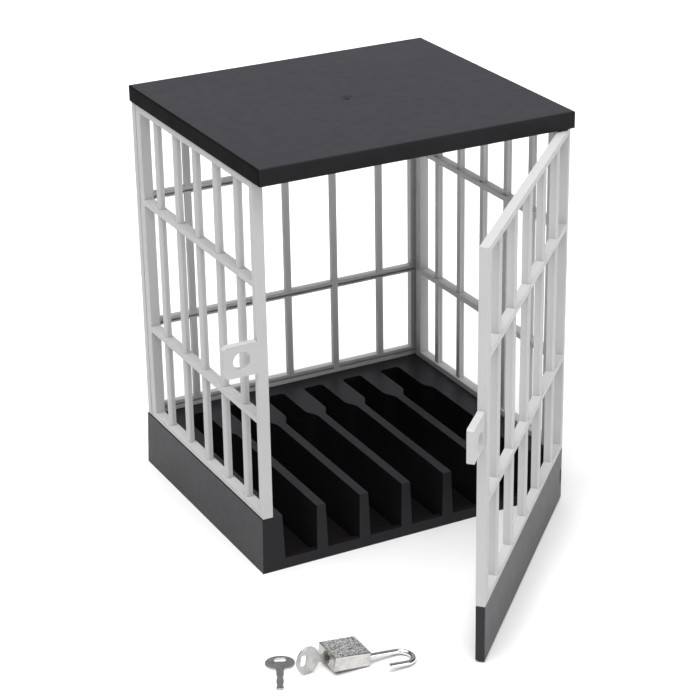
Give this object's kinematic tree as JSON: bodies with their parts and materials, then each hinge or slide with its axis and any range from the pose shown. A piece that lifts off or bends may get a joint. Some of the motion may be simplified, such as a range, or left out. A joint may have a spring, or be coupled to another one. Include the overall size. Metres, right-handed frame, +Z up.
{
  "type": "lockable phone jail",
  "caption": "Toy barred cell for locking phones away, with a slotted base, a roof, a hinged barred door, hasp lugs and a small padlock with its keys",
  "frame": {"origin": "centre of the base tray's underside, on the floor", "axes": "+X to the right, +Y to the back, +Z up; the doorway faces -Y and the door is hinged on the right"},
  "size_m": [0.2439, 0.3215, 0.245],
  "materials": {
    "black_plastic": "fine satin moulding grain",
    "grey_plastic": "smooth satin moulding",
    "nickel": "nickel plate, brushed edges",
    "shackle_steel": "bright plated steel",
    "inner_steel": "plain drawn steel",
    "brass": "machined brass"
  },
  "bodies": {
    "cell": {"base_tray": "black_plastic", "roof": "black_plastic", "left_wall": "grey_plastic", "right_wall": "grey_plastic", "back_wall": "grey_plastic", "upper_hinge_pin": "inner_steel", "lower_hinge_pin": "inner_steel"},
    "door": {"door_grille": "grey_plastic", "door_kick_panel": "black_plastic"},
    "padlock": {"padlock_body": "nickel", "plug_retaining_pin": "inner_steel", "shackle_spring": "inner_steel", "latch_spring": "inner_steel"},
    "shackle_seat": {"shackle_spring_cap": "inner_steel"},
    "shackle": {"padlock_shackle": "shackle_steel"},
    "plug": {"lock_plug": "brass", "lock_wafers": "brass"},
    "latch": {"lock_latch": "inner_steel"},
    "key": {"lock_key": "nickel"},
    "spare_key": {"spare_key": "nickel"}
  },
  "joints": [
    {"name": "door_swing", "type": "hinge", "parent": "cell", "child": "door", "pos_m": [0.09665, -0.08525, 0.12], "axis": [0, 0, 1], "range_deg": [-45.2, 124.8]},
    {"name": "padlock_lift", "type": "slide", "parent": "cell", "child": "padlock", "axis": [0, 0, 1], "range_m": [0, 0.15]},
    {"name": "shackle_pull", "type": "slide", "parent": "padlock", "child": "shackle_seat", "axis": [0.993, 0, -0.1184], "range_m": [-0.011, 0], "stiffness_N_per_m": 120, "springref_m": 0.003, "deforming": ["shackle_spring"]},
    {"name": "shackle_swing", "type": "hinge", "parent": "shackle_seat", "child": "shackle", "pos_m": [-0.09125, -0.1945, 0.00437], "axis": [0.993, 0, -0.1184], "range_deg": [-180, 0]},
    {"name": "key_turn", "type": "hinge", "parent": "padlock", "child": "plug", "pos_m": [-0.1126, -0.188, 0.00692], "axis": [0.993, 0, -0.1184], "range_deg": [0, 90]},
    {"name": "latch_slide", "type": "slide", "parent": "padlock", "child": "latch", "axis": [0, 1, 0], "range_m": [-0.0013, 0], "deforming": ["latch_spring"]},
    {"name": "key_withdraw", "type": "slide", "parent": "plug", "child": "key", "axis": [-0.993, 0, 0.1184], "range_m": [0, 0.022]},
    {"name": "spare_key_lift", "type": "slide", "parent": "cell", "child": "spare_key", "axis": [0, 0, 1], "range_m": [0, 0.15]}
  ],
  "couplings": [
    {"joint": "key_turn", "follows": "latch_slide", "rad_per_m": -1208.3}
  ]
}
